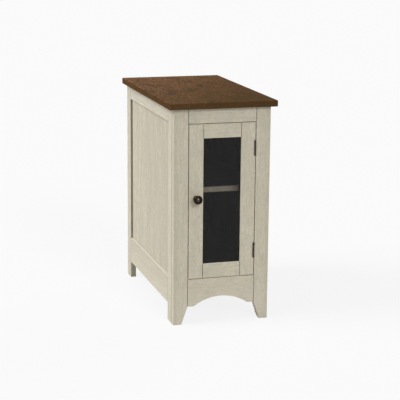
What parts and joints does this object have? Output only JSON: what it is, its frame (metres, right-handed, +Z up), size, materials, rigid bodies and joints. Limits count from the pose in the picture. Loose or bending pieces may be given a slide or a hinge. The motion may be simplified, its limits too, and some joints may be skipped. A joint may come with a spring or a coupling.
{
  "type": "storage side table",
  "caption": "Narrow chairside cabinet with a brown overhanging top, frame-and-panel sides, an arched apron and a hinged glass door over an enclosed shelf.",
  "frame": {"origin": "on the floor under the middle of the overall box, whose front is the knob and whose rear is the top's rear edge", "axes": "+Z up, +X to the right seen from the front, the door faces -Y"},
  "size_m": [0.305, 0.569, 0.622],
  "materials": {
    "cream_paint": "cream paint, brushed so that a fine wood grain shows",
    "brown_top": "rustic brown stain, satin lacquer",
    "dark_interior": "dark brown stain, matt",
    "bare_wood": "plain sawn softwood",
    "clear_glass": "clear float glass",
    "dark_bronze": "antique bronze, rubbed bright on its edges",
    "bronze_steel": "antique bronze plating, satin",
    "plated_steel": "zinc plated",
    "catch_plastic": "moulded brown plastic"
  },
  "bodies": {
    "cabinet": {"back_bottom_rail": "cream_paint", "back_panel": "dark_interior", "back_top_rail": "cream_paint", "catch_housing": "catch_plastic", "catch_magnet": "plated_steel", "corner_blocks": "bare_wood", "deck_cleat_left": "bare_wood", "deck_cleat_right": "bare_wood", "deck_panel": "dark_interior", "face_apron": "cream_paint", "face_stile_left": "cream_paint", "face_stile_right": "cream_paint", "face_top_rail": "cream_paint", "front_stretcher": "cream_paint", "hinge_frame_leaves": "bronze_steel", "hinge_pins": "bronze_steel", "shelf_board": "dark_interior", "shelf_lipping": "cream_paint", "shelf_pins": "plated_steel", "side_left_bottom_rail": "cream_paint", "side_left_front_stile": "cream_paint", "side_left_panel": "cream_paint", "side_left_rear_stile": "cream_paint", "side_left_top_rail": "cream_paint", "side_right_bottom_rail": "cream_paint", "side_right_front_stile": "cream_paint", "side_right_panel": "cream_paint", "side_right_rear_stile": "cream_paint", "side_right_top_rail": "cream_paint", "top_cleat_left": "bare_wood", "top_cleat_right": "bare_wood", "top_panel": "brown_top"},
    "door": {"door_bottom_rail": "cream_paint", "door_glass": "clear_glass", "door_stile_left": "cream_paint", "door_stile_right": "cream_paint", "door_top_rail": "cream_paint", "glass_bead_bottom": "dark_interior", "glass_bead_left": "dark_interior", "glass_bead_right": "dark_interior", "glass_bead_top": "dark_interior", "hinge_door_leaves": "bronze_steel", "knob": "dark_bronze", "knob_screw": "plated_steel", "strike_plate": "plated_steel"}
  },
  "joints": [
    {"name": "door_hinge", "type": "hinge", "parent": "cabinet", "child": "door", "pos_m": [0.0935, -0.261, 0.346], "axis": [0, 0, 1], "range_deg": [0, 180]}
  ]
}
